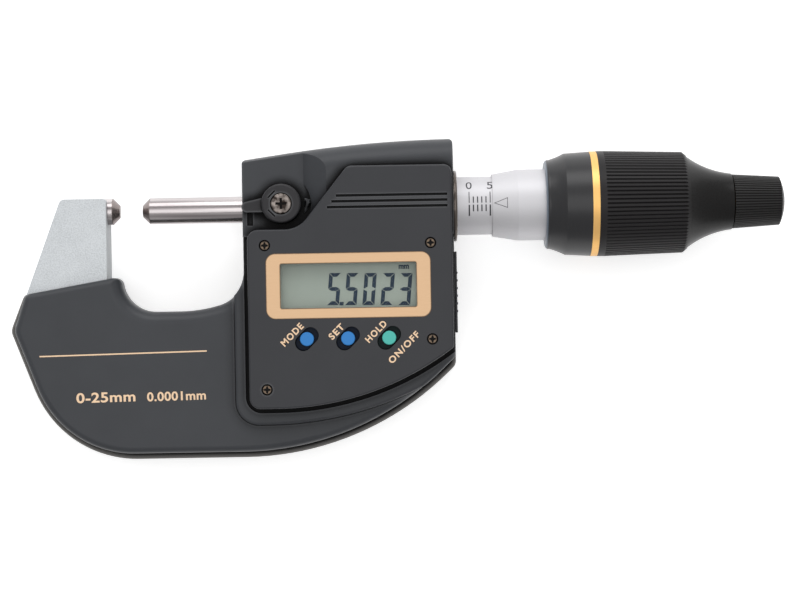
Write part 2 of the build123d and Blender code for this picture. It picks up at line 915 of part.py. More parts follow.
def cover_screws():
    """Four small cross-slotted screws."""
    screws = []
    top = face_z - screw_sink
    for x, y in screw_places:
        screw = post(x, y, top - screw_head_t, top, screw_head_r)
        screw += post(x, y, screw_reach, top - screw_head_t, screw_shank_r)
        screw -= cross(x, y, small_slot, small_slot_w, top - small_slot_deep, top)
        screws.append(screw)
    return Compound(children=screws)


def rear_cover():
    """The moulded back, the widest shell, whose rim shows past the front cover."""
    shell = cover_blank(0, rear_throat_step, rear_z, split_z, cover_edge_r, rear_z)
    rims = shell.edges().filter_by(lambda e: abs(e.center().Z - split_z) < 0.01)
    rims = rims.filter_by(lambda e: e.center().Y < heel_y)
    shell = fillet(rims, rear_throat_edge_r)
    ceiling = -frame_half - 2 * face_gap
    inside = offset(body_outline(0, rear_throat_step), -wall - loose)
    hollow = slab(inside, rear_z + wall, ceiling)
    for x, y in rear_places:
        hollow -= post(x, y, rear_z, ceiling, boss_r + boss_land)
    hollow -= post(battery_x, battery_y, rear_z, ceiling, lug_r + loose + cup_wall)
    shell -= hollow
    shell -= frame_room()
    for x, y in rear_places:
        shell += post(x, y, ceiling - wall, split_z - running, boss_r)
    cup = battery_cup()
    shell += cup
    shell -= side_room()
    shell -= battery_room()
    for x, y in rear_places:
        shell -= post(x, y, rear_z, split_z, rear_shank_r + face_gap)
        shell -= post(x, y, rear_z, rear_z + rear_recess + rear_head_t, rear_head_r + face_gap)
    return shell


def cup_low():
    """Inside face of the back where the cap's lugs bear."""
    return rear_z + cap_recess + cap_t + cap_neck_t - lug_t - face_gap


def battery_low():
    return rear_z + cap_recess + cap_t + cap_neck_t + face_gap


def contact_low():
    return battery_low() + battery_t + face_gap


def battery_cup():
    """A round wall that rises from the back into the frame's window."""
    r = lug_r + loose + cup_wall
    return post(battery_x, battery_y, rear_z + wall, contact_low(), r)


def battery_room():
    """The cap's recess, its keyed hole, the groove for the lugs and the battery's place."""
    floor_z = rear_z + cap_recess + cap_t + running
    room = post(battery_x, battery_y, rear_z, floor_z, cap_r + running)
    room += post(battery_x, battery_y, floor_z, cup_low(), cap_neck_r + running)
    half = lug_w / 2 + face_gap
    reach = lug_r + face_gap
    keyway = Box(2 * reach, 2 * half, cup_low() - floor_z, align=(Align.CENTER, Align.CENTER, Align.MIN))
    room += Pos(battery_x, battery_y, floor_z) * Rot(0, 0, unlock_angle) * keyway
    room += post(battery_x, battery_y, cup_low(), battery_low() + face_gap, lug_r + loose)
    top_z = contact_low() + wall
    return room + post(battery_x, battery_y, battery_low(), top_z, battery_r + 2 * face_gap)


def battery():
    """A button cell: a wide can and a narrower cap."""
    z0 = battery_low()
    z1 = z0 + battery_t
    cell = post(battery_x, battery_y, z0, z1 - battery_step, battery_r)
    return cell + post(battery_x, battery_y, z1 - battery_step, z1, battery_r - battery_step_in)


def battery_contact():
    """A spring plate across the cup over the cell, with a lead up to the board."""
    z0 = contact_low()
    half_w = contact_w / 2
    x0 = battery_x - contact_half
    plate = block(x0, battery_x + contact_half, battery_y - half_w, battery_y + half_w, z0, z0 + contact_t)
    return plate + lead_slot(0, z0, bay_floor())


def battery_cap():
    """A round cap with two lugs that lock behind the back, and a slot for a coin."""
    z0 = rear_z + cap_recess
    neck_z = z0 + cap_t
    z1 = neck_z + cap_neck_t
    cap = post(battery_x, battery_y, z0, neck_z, cap_r)
    cap = chamfer(cap.edges().filter_by(GeomType.CIRCLE).group_by(Axis.Z)[0], cap_edge)
    cap += post(battery_x, battery_y, neck_z, z1, cap_neck_r)
    half_w = lug_w / 2
    lugs = block(battery_x - lug_r, battery_x + lug_r, battery_y - half_w, battery_y + half_w, z1 - lug_t, z1)
    cap += lugs & post(battery_x, battery_y, z1 - lug_t, z1, lug_r)
    half = coin_length / 2
    half_w = coin_w / 2
    slot_z = z0 + coin_depth
    cap -= block(battery_x - half, battery_x + half, battery_y - half_w, battery_y + half_w, z0, slot_z)
    return cap - cap_groove_ring(neck_z, neck_z + cap_groove)


def cap_groove_ring(z0, z1):
    ring = post(battery_x, battery_y, z0, z1, cap_neck_r)
    return ring - post(battery_x, battery_y, z0, z1, cap_neck_r - cap_groove_in)


def cap_seal():
    """The sealing ring in the cap's neck."""
    neck_z = rear_z + cap_recess + cap_t
    return cap_groove_ring(neck_z, neck_z + cap_groove)


def rear_screws():
    """The screws that draw the back to the front through the frame."""
    screws = []
    low = rear_z + rear_recess
    for x, y in rear_places:
        screw = post(x, y, low, low + rear_head_t, rear_head_r)
        screw += post(x, y, low + rear_head_t, frame_half - loose, rear_shank_r)
        screw -= cross(x, y, rear_slot, rear_slot_w, low, low + rear_slot_deep)
        screws.append(screw)
    return Compound(children=screws)


def encoder_stator():
    return tube(chamber_x, chamber_x + stator_t, chamber_r, passage_r)


def encoder_rotor():
    """The disc that turns with the screw: a key in its bore rides in the screw's groove."""
    disc = rod(rotor_x, rotor_x + rotor_t, chamber_r - loose)
    disc += rod(rotor_x, bearing_x + bearing_t, rotor_hub_r)
    disc -= rod(rotor_x, bearing_x + bearing_t, journal_r + running)
    half = key_w / 2 - running
    key_z = journal_r - key_depth + 2 * running
    return disc + block(rotor_x, rotor_x + rotor_t, -half, half, key_z, journal_r + loose)


def rotor_bearing():
    return tube(bearing_x, bearing_x + bearing_t, chamber_r, rotor_hub_r + running)


def sleeve_flange():
    """The black ring that clamps the sleeve in the encoder hub and closes it."""
    ring = rod(sleeve_x, side_x + face_gap, chamber_r)
    collar = rod(side_x + face_gap, flange_x, flange_r)
    collar = fillet(collar.edges().filter_by(GeomType.CIRCLE).group_by(Axis.X)[-1], flange_edge_r)
    return ring + collar - rod(sleeve_x, flange_x, sleeve_r + seat)


def sleeve():
    return tube(sleeve_x, sleeve_end_x, sleeve_r, sleeve_bore_r)


def screw_nut():
    """The nut in the sleeve's end, with a slit tail for its adjuster."""
    tail_x = sleeve_end_x + adjuster_length
    nut = rod(nut_x, sleeve_end_x, sleeve_bore_r - seat)
    nut += rod(sleeve_end_x, tail_x, adjuster_r)
    nut -= rod(nut_x, tail_x, thread_r + running)
    half = nut_slit / 2
    slit = block(tail_x - nut_slit_length, tail_x, -sleeve_bore_r, sleeve_bore_r, -half, half)
    for turn in (0, 60, 120):
        nut -= Rot(turn, 0, 0) * slit
    return nut


def adjusting_nut():
    """The notched ring that closes the nut on the screw."""
    end_x = sleeve_end_x + adjuster_length - face_gap
    ring = tube(sleeve_end_x + face_gap, end_x, sleeve_r - face_gap, adjuster_r + seat)
    notch = block(end_x - notch_length, end_x, -notch_w / 2, notch_w / 2, sleeve_r - notch_depth, sleeve_r)
    for turn in range(0, 360, 90):
        ring -= Rot(turn, 0, 0) * notch
    return ring


def pointer_sleeve():
    """The bright sleeve that slides on the graduated one and does not turn."""
    shoulder_x = pointer_end_x - pointer_shoulder
    body = turned(
        (pointer_x, 0), (pointer_x, pointer_edge_r), (pointer_x + pointer_cone, pointer_r),
        (shoulder_x, pointer_r), (shoulder_x, pointer_shoulder_r),
        (pointer_end_x, pointer_shoulder_r), (pointer_end_x, 0),
    )
    return body - rod(pointer_x, pointer_end_x, sleeve_r + running)


def lead_screw():
    """The screw: a nose in the spindle, a keyed journal, the thread, a relief and a seat."""
    nose_x = spindle_rear - nose_depth + 2 * nose_r + running
    screw = turned(
        (nose_x, 0), (nose_x, nose_r),
        (spindle_rear + face_gap, nose_r), (spindle_rear + face_gap, journal_r),
        (thread_x, journal_r), (thread_x + thread_lead_in, thread_r),
        (sleeve_end_x, thread_r), (sleeve_end_x + relief_step, relief_r),
        (hub_disc_x, relief_r), (hub_disc_x, thread_r),
        (screw_rear_x, thread_r), (screw_rear_x, 0),
    )
    half = key_w / 2
    keyway_x = spindle_rear + thread_lead_in
    screw -= block(keyway_x, thread_x - thread_lead_in, -half, half, journal_r - key_depth, journal_r)
    return screw - rod(hub_disc_x + screw_bore_in, screw_rear_x, screw_bore_r + seat)


def thimble_hub():
    """The metal hub that ties the thimble to the screw."""
    hub = rod(hub_disc_x, hub_disc_x + hub_disc_t, grip_bore_r - seat)
    hub += rod(hub_disc_x, grip_end_x + face_gap, hub_nose_r - seat)
    hub -= rod(hub_disc_x, screw_rear_x + seat, thread_r + seat)
    return hub - rod(hub_disc_x, disc_x, axle_r + seat)


def ratchet_screw():
    """The shouldered screw that holds the speeder and draws the hub on its seat."""
    head_end_x = axle_head_x + axle_head_t
    screw = rod(hub_disc_x + 2 * screw_bore_in, screw_rear_x, screw_bore_r)
    screw += rod(screw_rear_x, axle_head_x, axle_r)
    screw += rod(axle_head_x, head_end_x, axle_head_r)
    half = axle_slot / 2
    return screw - block(head_end_x - axle_slot, head_end_x, -half, half, -axle_head_r, axle_head_r)


def thimble_collar():
    """The front of the thimble: a rolled lip, a scooped cove and a plain band."""
    lip_end = (collar_x + collar_lip, collar_lip_r)
    front = (collar_x, collar_lip_r - collar_lip_drop)
    crown = (collar_cove_x, collar_cove_r)
    lip_middle = (collar_x + collar_lip_share * collar_lip, collar_lip_r - collar_lip_drop / collar_lip_bow)
    lip_arc = ThreePointArc(front, lip_middle, lip_end)
    scoop = ThreePointArc(lip_end, (collar_cove_x - collar_scoop, collar_lip_r + collar_cove_sag), crown)
    rest = Polyline(crown, (ring_x, ring_r - running), (ring_x, 0), (collar_x, 0), front)
    body = revolve(make_face([lip_arc.edge(), scoop.edge(), *rest.edges()]), Axis.X)
    body -= rod(collar_x, ring_x, pointer_r + running)
    return body - rod(pointer_end_x - pointer_shoulder - loose, ring_x, pointer_shoulder_r + face_gap)


def thimble_ring():
    return tube(ring_x, ring_x + ring_length, ring_r, spigot_r + seat)


def fluted_bar(x0, r0, x1, r1, depth, count):
    """A bar with ribs all round it, whose crests run from radius r0 to r1."""
    ends = []
    for x, crest_r in ((x0, r0), (x1, r1)):
        points = []
        for i in range(count):
            for share, r in ((-0.25, crest_r), (0.25, crest_r), (0.5, crest_r - depth)):
                turn = 2 * math.pi * (i + share) / count
                points.append((r * math.cos(turn), r * math.sin(turn)))
        ends.append(Pos(x, 0, 0) * Rot(0, 90, 0) * make_face(Polyline(*points, close=True)))
    return loft(ends, ruled=True)


def thimble_grip():
    """The ribbed grip: a plain lip, ribs that follow its taper, and a flared rear."""
    x0 = ring_x + ring_length
    lip = rod(x0, ribs_x, grip_r)
    band = turned(
        (ribs_x, 0), (ribs_x, grip_r), (grip_shoulder_x, grip_end_r), (flare_x, flare_r), (flare_x, 0),
    )
    taper = (grip_r - grip_end_r) / rib_length
    band &= fluted_bar(ribs_x, grip_r, flare_x, grip_r - taper * (flare_x - ribs_x), rib_depth, rib_count)
    root = (flare_x, flare_r - flare_step)
    nose = (grip_end_x, grip_nose_r)
    flare = ThreePointArc(root, (flare_mid_x, flare_mid_r), nose)
    rest = Polyline(nose, (grip_end_x, 0), (flare_x, 0), root)
    tail = revolve(make_face([flare.edge(), *rest.edges()]), Axis.X)
    body = rod(ring_x + face_gap, x0, spigot_r) + lip + band + tail
    body -= rod(ring_x, hub_disc_x + hub_disc_t, grip_bore_r)
    return body - rod(ring_x, grip_end_x, hub_nose_r)


def clutch_disc():
    return tube(disc_x, disc_x + disc_t, disc_r, axle_r + seat)


def clutch_washers():
    """Two cupped spring washers, set face to face, that load the clutch."""
    bore_r = axle_r + seat
    cups = []
    for i, (inner, outer) in enumerate(((washer_cup, 0), (0, washer_cup))):
        x = washer_x + i * washer_pitch
        cups.append(turned(
            (x + inner, bore_r), (x + outer, disc_r),
            (x + outer + washer_t, disc_r), (x + inner + washer_t, bore_r),
        ))
    return Compound(children=cups)


def speeder():
    """The small ribbed knob behind the thimble."""
    knob = fluted_bar(
        speeder_x, speeder_r, speeder_end_x, speeder_end_r, speeder_rib_depth, speeder_rib_count,
    )
    knob -= rod(speeder_x, speeder_end_x, axle_r + running)
    knob -= rod(speeder_x, well_x, disc_r + loose)
    return knob - rod(axle_head_x - loose, speeder_end_x, axle_head_r + loose)


def speeder_cap():
    """The domed end cap of the speeder, plugged into it."""
    plug_r = axle_head_r + loose - seat
    rim_r = speeder_end_r - speeder_rib_depth
    height = cap_rise - cap_step
    dome_r = (rim_r**2 + height**2) / (2 * height)
    crown_x = speeder_end_x + cap_rise
    ball = Pos(crown_x - dome_r, 0, 0) * Rot(0, 90, 0) * Sphere(dome_r)
    dome = rod(speeder_end_x, crown_x, rim_r) & ball
    return dome + rod(speeder_end_x - cap_plug, speeder_end_x, plug_r)


def connector_cover():
    """The slide over the output socket: a plate with finger ribs and a foot in the wall."""
    x0 = side_x + running
    plate = block(x0, x0 + slide_t, slide_y0, slide_y1, -slide_half, slide_half)
    plate = fillet(plate.edges().filter_by(Axis.X), slide_corner)
    inside = block(x0, side_x + wall, slide_y0, slide_y1, -slide_half, slide_half)
    rib_x = x0 + slide_t - slide_rib_r + slide_rib_rise
    for i in range(slide_rib_count):
        rib = Cylinder(slide_rib_r, 2 * (slide_half - slide_rib_in))
        plate += (Pos(rib_x, slide_rib_y - i * slide_rib_pitch, 0) * rib) & inside
    foot_y0 = foot_y1 - foot_length
    back_x = side_x - wall
    plate += block(back_x, x0, foot_y0, foot_y1, -foot_half, foot_half)
    return plate + block(back_x - slide_back_t, back_x, foot_y0, foot_y1, -2 * foot_half, 2 * foot_half)


def output_socket():
    """The data socket in the right wall, behind its slide."""
    x1 = side_x - face_gap
    body = block(x1 - socket_depth, x1, socket_y1 - socket_h, socket_y1, -socket_half, socket_half)
    low = socket_y1 - socket_h + socket_wall
    half = socket_half - socket_wall
    return body - block(x1 - socket_well, x1, low, socket_y1 - socket_wall, -half, half)


parts = {
    "frame": frame,
    "anvil": anvil,
    "anvil_tip": lambda: tip(0, -1),
    "spindle": spindle,
    "spindle_tip": lambda: tip(gap, 1),
    "thrust_ball": thrust_ball,
    "spindle_bush": spindle_bush,
    "spindle_seal": spindle_seal,
    "clamp_pad": clamp_pad,
    "clamp_stem": clamp_stem,
    "clamp_lever": clamp_lever,
    "clamp_screw": clamp_screw,
    "front_cover": front_cover,
    "display_housing": display_housing,
    "display_cover": display_cover,
    "display_bezel": display_bezel,
    "display_window": display_window,
    "lcd_panel": lcd_panel,
    "lcd_strips": lcd_strips,
    "circuit_board": circuit_board,
    "button_domes": button_domes,
    "mode_button": lambda: button(0),
    "set_button": lambda: button(1),
    "hold_button": lambda: button(2),
    "cover_screws": cover_screws,
    "rear_cover": rear_cover,
    "rear_screws": rear_screws,
    "battery": battery,
    "battery_contact": battery_contact,
    "battery_cap": battery_cap,
    "cap_seal": cap_seal,
    "encoder_stator": encoder_stator,
    "encoder_rotor": encoder_rotor,
    "rotor_bearing": rotor_bearing,
    "sleeve_flange": sleeve_flange,
    "sleeve": sleeve,
    "screw_nut": screw_nut,
    "adjusting_nut": adjusting_nut,
    "pointer_sleeve": pointer_sleeve,
    "lead_screw": lead_screw,
    "thimble_hub": thimble_hub,
    "ratchet_screw": ratchet_screw,
    "thimble_collar": thimble_collar,
    "thimble_ring": thimble_ring,
    "thimble_grip": thimble_grip,
    "clutch_disc": clutch_disc,
    "clutch_washers": clutch_washers,
    "speeder": speeder,
    "speeder_cap": speeder_cap,
    "connector_cover": connector_cover,
    "output_socket": output_socket,
}

os.makedirs("parts", exist_ok=True)
for name, make in parts.items():
    export_step(make(), "parts/" + name + ".step")
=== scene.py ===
import math

import bmesh
import bpy
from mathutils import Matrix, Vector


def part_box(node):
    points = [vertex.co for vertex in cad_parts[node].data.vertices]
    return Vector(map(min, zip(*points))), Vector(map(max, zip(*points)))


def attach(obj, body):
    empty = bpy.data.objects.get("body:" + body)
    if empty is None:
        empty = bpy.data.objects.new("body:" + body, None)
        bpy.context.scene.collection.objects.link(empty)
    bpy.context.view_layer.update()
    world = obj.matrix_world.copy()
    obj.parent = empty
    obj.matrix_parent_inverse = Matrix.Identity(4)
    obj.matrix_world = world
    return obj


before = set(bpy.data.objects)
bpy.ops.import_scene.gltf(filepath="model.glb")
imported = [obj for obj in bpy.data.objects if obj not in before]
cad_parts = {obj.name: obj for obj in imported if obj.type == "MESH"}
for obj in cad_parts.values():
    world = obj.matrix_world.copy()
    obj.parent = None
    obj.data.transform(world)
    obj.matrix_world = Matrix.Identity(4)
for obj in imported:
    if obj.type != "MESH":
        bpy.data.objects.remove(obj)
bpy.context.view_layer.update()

# Cast frame
# The C-shaped frame that joins the anvil to the spindle's barrel. It is cast iron with a pale
# hammered paint at the anvil arm. Under the covers it is painted dark, as painted shade where its
# edge shows in a seam.
mm = 0.001
ambient_samples = 8


def tone(red, green, blue):
    """A colour as a screen shows it, 0 to 255, in the linear values that a shader takes."""
    parts = []
    for part in (red / 255, green / 255, blue / 255):
        parts.append(part / 12.92 if part <= 0.04045 else ((part + 0.055) / 1.055) ** 2.4)
    return (*parts, 1.0)


class Value:
    """One socket of a node tree; sums and products of it add Math nodes."""

    def __init__(self, tree, socket):
        self.tree = tree
        self.socket = socket

    def __add__(self, other):
        return self.tree.maths("ADD", self, other)

    def __radd__(self, other):
        return self.tree.maths("ADD", other, self)

    def __sub__(self, other):
        return self.tree.maths("SUBTRACT", self, other)

    def __rsub__(self, other):
        return self.tree.maths("SUBTRACT", other, self)

    def __mul__(self, other):
        return self.tree.maths("MULTIPLY", self, other)

    def __rmul__(self, other):
        return self.tree.maths("MULTIPLY", other, self)


class Tree:
    """The nodes of a finish or of the room's light."""

    def __init__(self, owner):
        owner.use_nodes = True
        self.nodes = owner.node_tree.nodes
        self.links = owner.node_tree.links
        self.nodes.clear()

    def fill(self, node, values):
        """Gives a node's inputs their values, or links them to the sockets that drive them."""
        for name, value in values.items():
            if isinstance(value, Value):
                self.links.new(value.socket, node.inputs[name])
            else:
                node.inputs[name].default_value = value

    def node(self, kind, settings, values):
        """A new node, with its settings made before its inputs are filled."""
        node = self.nodes.new(kind)
        for name, value in settings.items():
            setattr(node, name, value)
        self.fill(node, values)
        return node

    def add(self, kind, settings, values, output=0):
        """One output of a new node."""
        return Value(self, self.node(kind, settings, values).outputs[output])

    def maths(self, operation, *values):
        return self.add("ShaderNodeMath", {"operation": operation}, dict(enumerate(values)))

    def between(self, factor, low, high, at_low=0.0, at_high=1.0):
        """A ramp with the value at_low where the factor is low and at_high where it is high."""
        values = {0: factor, 1: low, 2: high, 3: at_low, 4: at_high}
        return self.add("ShaderNodeMapRange", {}, values)

    def axis(self, place, letter):
        return self.add("ShaderNodeSeparateXYZ", {}, {0: place}, letter)


class Finish(Tree):
    """A surface finish: one Principled shader and the nodes that vary it over the piece."""

    def __init__(self, name, values):
        self.material = bpy.data.materials.new(name)
        super().__init__(self.material)
        self.shader = self.node("ShaderNodeBsdfPrincipled", {}, values)
        self.node("ShaderNodeOutputMaterial", {}, {"Surface": Value(self, self.shader.outputs[0])})
        self.place = self.add("ShaderNodeTexCoord", {}, {}, "Object")

    def set(self, values):
        self.fill(self.shader, values)

    def stretched(self, x, y, z):
        """The place on the piece, stretched along each axis."""
        values = {0: self.place, 1: (x, y, z)}
        return self.add("ShaderNodeVectorMath", {"operation": "MULTIPLY"}, values)

    def grain(self, size, detail=2.0, place=None):
        """Soft noise from 0 to 1 whose blotches are about size across."""
        values = {"Vector": place or self.place, "Scale": 1 / size, "Detail": detail}
        return self.add("ShaderNodeTexNoise", {}, values)

    def blend(self, factor, first, second):
        return self.add("ShaderNodeMix", {"data_type": "RGBA"}, {0: factor, 6: first, 7: second}, 2)

    def hollows(self, reach):
        """0 in grooves, inner corners and the seams between pieces, 1 in the open."""
        settings = {"samples": ambient_samples}
        return self.add("ShaderNodeAmbientOcclusion", settings, {"Distance": reach}, "AO")

    def rims(self, reach):
        """1 along the piece's outer edges, 0 away from them."""
        settings = {"samples": ambient_samples, "only_local": True, "inside": True}
        return 1 - self.add("ShaderNodeAmbientOcclusion", settings, {"Distance": reach}, "AO")

    def inside(self, letter, low, high):
        """1 from low to high along one axis and 0 outside, with edges that fade over a millimetre."""
        along = self.axis(self.place, letter)
        return self.between(along, low, low + mm) * self.between(along, high - mm, high, 1.0, 0.0)

    def relief(self, height, depth):
        """Bumps of this depth in metres, from a height of 0 to 1."""
        self.set({"Normal": self.add("ShaderNodeBump", {}, {"Distance": depth, "Height": height})})

    def vary(self, grain, dark, light, roughness, spread):
        """Takes the colour from dark to light, and adds the spread to the roughness, with the grain."""
        self.set({"Base Color": self.blend(grain, dark, light), "Roughness": roughness + spread * grain})


def dress(finish, *nodes):
    """Gives CAD nodes a finish in place of the one that they came with."""
    for node in nodes:
        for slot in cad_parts[node].material_slots:
            slot.material = finish.material


paint_end_x = 40.0 * mm
black_start_x = 42.0 * mm
dimple_size = 0.3 * mm
dimple_depth = 0.035 * mm
cloud_size = 4.0 * mm
cast_paint = Finish("hammered_paint", {"Specular IOR Level": 0.35})
dimple = cast_paint.grain(dimple_size, 2.5)
cloud = cast_paint.grain(cloud_size)
hammered = cast_paint.between(dimple * 0.8 + cloud * 0.2, 0.3, 0.6)
sprayed = cast_paint.blend(hammered, tone(190, 194, 197), tone(216, 220, 223))
# Painted shade: the frame turns dark past black_start_x, where its edge shows in the seam between the
# covers.
seam_shade_dark = cast_paint.blend(dimple, tone(26, 26, 28), tone(42, 42, 45))
frame_x = cast_paint.axis(cast_paint.place, "X")
under_covers = cast_paint.between(frame_x, paint_end_x, black_start_x)
cast_paint.set({
    "Base Color": cast_paint.blend(under_covers, sprayed, seam_shade_dark),
    "Roughness": 0.4 + 0.2 * dimple,
})
cast_paint.relief(dimple, dimple_depth)
dress(cast_paint, "frame")

# Anvil and spindle
# The two hardened steel bars that close on the work. They are ground round and lapped, and each
# carries a brazed tip of sintered carbide, ground flat on its measuring face.
ground_steel = Finish("ground_steel", {"Metallic": 1.0, "Anisotropic": 0.4})
grinding = ground_steel.grain(1.0, 2.0, ground_steel.stretched(5000, 60, 60))
streak = ground_steel.grain(1.0, 2.0, ground_steel.stretched(18, 620, 620))
polished = ground_steel.between(streak, 0.36, 0.64)
ground_steel.set({
    "Base Color": ground_steel.blend(polished, tone(146, 139, 140), tone(206, 200, 200)),
    "Roughness": 0.2 + 0.06 * grinding,
})
grinding_depth = 0.0008 * mm
ground_steel.relief(grinding, grinding_depth)
dress(ground_steel, "anvil", "spindle")

carbide = Finish("sintered_carbide", {"Metallic": 0.85})
lapping = carbide.grain(0.3 * mm, 4.0)
carbide.vary(lapping, tone(126, 116, 114), tone(154, 144, 142), 0.18, 0.14)
dress(carbide, "anvil_tip", "spindle_tip")

# Rear cover
# The back half of the hand-grip shell, moulded in a greyer plastic with a finely eroded texture.
# Five screws sunk in its back draw it against the front cover and the display housing.
haze_size = 9.0 * mm
shade_reach = 2.7 * mm
highlight_reach = 0.8 * mm
mould_depth = 0.018 * mm
coat_weight = 0.55
# The near-black of the painted shade in hollows, and the light grey of the painted edge highlights.
painted_shade = tone(8, 8, 9)
highlight_colour = tone(104, 105, 108)


def moulded(name, dark, light, roughness, mould_size, spared=None):
    """A moulded plastic: a fine mould texture, painted shade that darkens its grooves, inner corners
    and seams and thins the coat there, and painted highlights along its outer edges.

    spared holds the lowest and highest X, then Y, between which no edge highlight is painted."""
    plastic = Finish(name, {"Specular IOR Level": 0.08, "Coat Roughness": roughness})
    mould = plastic.grain(mould_size, 2.0)
    haze = plastic.grain(haze_size, 3.0)
    body = plastic.blend(0.3 * mould + 0.7 * haze, dark, light)
    # Painted shade: the colour goes to near black and the coat thins in grooves, inner corners and seams.
    out_of_shade = plastic.between(plastic.hollows(shade_reach), 0.66, 0.97)
    shaded_body = plastic.blend(out_of_shade, painted_shade, body)
    # Painted highlight: a lighter, smoother band along the outer edges, where their fillets catch light.
    edge_highlight = plastic.between(plastic.rims(highlight_reach), 0.16, 0.5, 0.0, 0.45)
    if spared:
        x_limits, y_limits = spared
        no_highlight = plastic.inside("X", *x_limits) * plastic.inside("Y", *y_limits)
        edge_highlight = edge_highlight * (1 - no_highlight)
    plastic.set({
        "Base Color": plastic.blend(edge_highlight, shaded_body, highlight_colour),
        "Roughness": roughness - 0.05 + 0.1 * mould - 0.15 * edge_highlight,
        "Coat Weight": coat_weight * out_of_shade,
    })
    plastic.relief(mould, mould_depth)
    return plastic


grey_plastic = moulded("grey_plastic", tone(92, 90, 88), tone(104, 102, 99), 0.55, 0.16 * mm)
dress(grey_plastic, "rear_cover")

screw_steel = Finish("bronzed_screws", {"Metallic": 0.9})
screw_wear = screw_steel.grain(0.25 * mm, 3.0)
screw_steel.vary(screw_wear, tone(72, 62, 52), tone(104, 90, 76), 0.3, 0.15)
dress(screw_steel, "rear_screws")

# Battery cap
# A coin-slotted cap of black plastic that turns on three lugs and presses a rubber ring against
# the cover. Behind it lies a button cell on a nickel-plated spring contact.
black_plastic = moulded("black_plastic", tone(30, 30, 32), tone(38, 38, 40), 0.5, 0.2 * mm)
dress(black_plastic, "battery_cap")

rubber = Finish("black_rubber", {"Specular IOR Level": 0.3})
bloom = rubber.grain(0.5 * mm, 3.0)
rubber.vary(bloom, tone(24, 24, 25), tone(40, 40, 41), 0.68, 0.2)
dress(rubber, "cap_seal")

cell_can = Finish("cell_can", {"Metallic": 1.0})
drawn = cell_can.grain(0.6 * mm, 3.0)
cell_can.vary(drawn, tone(188, 190, 192), tone(216, 218, 220), 0.24, 0.12)
dress(cell_can, "battery", "battery_contact")

# Front cover
# The moulded shell over the bow of the frame. Its face is slightly glossier than the back, and
# the range, the resolution and a thin rule are pad-printed on it in cream ink.
cover_plastic = moulded("cover_plastic", tone(50, 52, 56), tone(60, 62, 66), 0.44, 0.2 * mm)
dress(cover_plastic, "front_cover")

print_ink = Finish("cream_ink", {"Specular IOR Level": 0.3})
ink_grain = print_ink.grain(0.12 * mm, 1.0)
print_ink.vary(ink_grain, tone(236, 200, 164), tone(252, 220, 186), 0.5, 0.2)
ink_t = 0.02 * mm
print_weight = 0.024
print_spacing = 1.06
print_slope = 1.0
cover_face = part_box("front_cover")[1].z


def lettering(words, width, height, weight=0.0, spacing=1.0):
    """Words as a flat mesh of this size from the origin; weight thickens and spacing parts them."""
    curve = bpy.data.curves.new(words, "FONT")
    curve.body = words
    curve.resolution_u = 6
    curve.offset = weight
    curve.space_character = spacing
    text = bpy.data.objects.new(words, curve)
    mesh = bpy.data.meshes.new_from_object(text)
    bpy.data.objects.remove(text)
    across = [v.co.x for v in mesh.vertices]
    up = [v.co.y for v in mesh.vertices]
    wide = width / (max(across) - min(across))
    tall = height / (max(up) - min(up))
    for v in mesh.vertices:
        v.co = ((v.co.x - min(across)) * wide, (v.co.y - min(up)) * tall, 0)
    return mesh


def fixed(name, mesh, finish, body):
    """Puts a new piece on a body, with its finish."""
    mesh.materials.clear()
    mesh.materials.append(finish.material)
    piece = bpy.data.objects.new(name, mesh)
    bpy.context.scene.collection.objects.link(piece)
    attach(piece, body)


def turned_to(mesh, x, y, z, degrees=0):
    """Turns a flat mesh about its corner and puts that corner at x, y and height z."""
    c = math.cos(math.radians(degrees))
    s = math.sin(math.radians(degrees))
    for v in mesh.vertices:
        v.co = (x + v.co.x * c - v.co.y * s, y + v.co.x * s + v.co.y * c, z)
    return mesh


def sheet(rectangles):
    """A mesh of flat four-cornered patches, each a list of four x, y places in metres."""
    mesh = bpy.data.meshes.new("sheet")
    places = [(x, y, 0) for corners in rectangles for x, y in corners]
    faces = [tuple(range(4 * i, 4 * i + 4)) for i in range(len(rectangles))]
    mesh.from_pydata(places, [], faces)
    return mesh


for name, words, x, y, width, height in (
    ("range_print", "0-25mm", -10.36, -45.66, 14.05, 2.45),
    ("resolution_print", "0.0001mm", 6.45, -45.5, 14.0, 2.2),
):
    mesh = lettering(words, width * mm, height * mm, print_weight, print_spacing)
    turned_to(mesh, x * mm, y * mm, cover_face + ink_t, print_slope)
    fixed(name, mesh, print_ink, "frame")

rule_corners = ((-18.97, -34.55), (20.82, -33.87), (20.82, -33.54), (-18.97, -34.22))
rule_mesh = sheet([[(x * mm, y * mm) for x, y in rule_corners]])
fixed("rule_print", turned_to(rule_mesh, 0, 0, cover_face + ink_t), print_ink, "frame")

# Display housing
# The moulded body behind the display: its base covers the column, and its raised top rounds over
# the spindle's barrel. It is screwed to the rear cover from behind.
dress(cover_plastic, "display_housing")

# Display cover and bezel
# The flat front plate that carries the screen and the keys, held by four small cross-slotted
# screws. A gold-toned anodised bezel lies flush in it, and no edge highlight is painted around it.
panel_middle = ((33.0 * mm, 77.5 * mm), (-37.0 * mm, -6.0 * mm))
face_plastic = moulded(
    "face_plastic", tone(40, 41, 45), tone(48, 49, 53), 0.42, 0.14 * mm, panel_middle,
)
dress(face_plastic, "display_cover")

screw_bronze = Finish("bronzed_heads", {"Metallic": 0.85})
scuffed = screw_bronze.grain(0.25 * mm, 3.0)
head_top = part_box("cover_screws")[1].z
cross_floor = head_top - 0.3 * mm
cross_brim = head_top - 0.04 * mm
head_edge_reach = 0.3 * mm
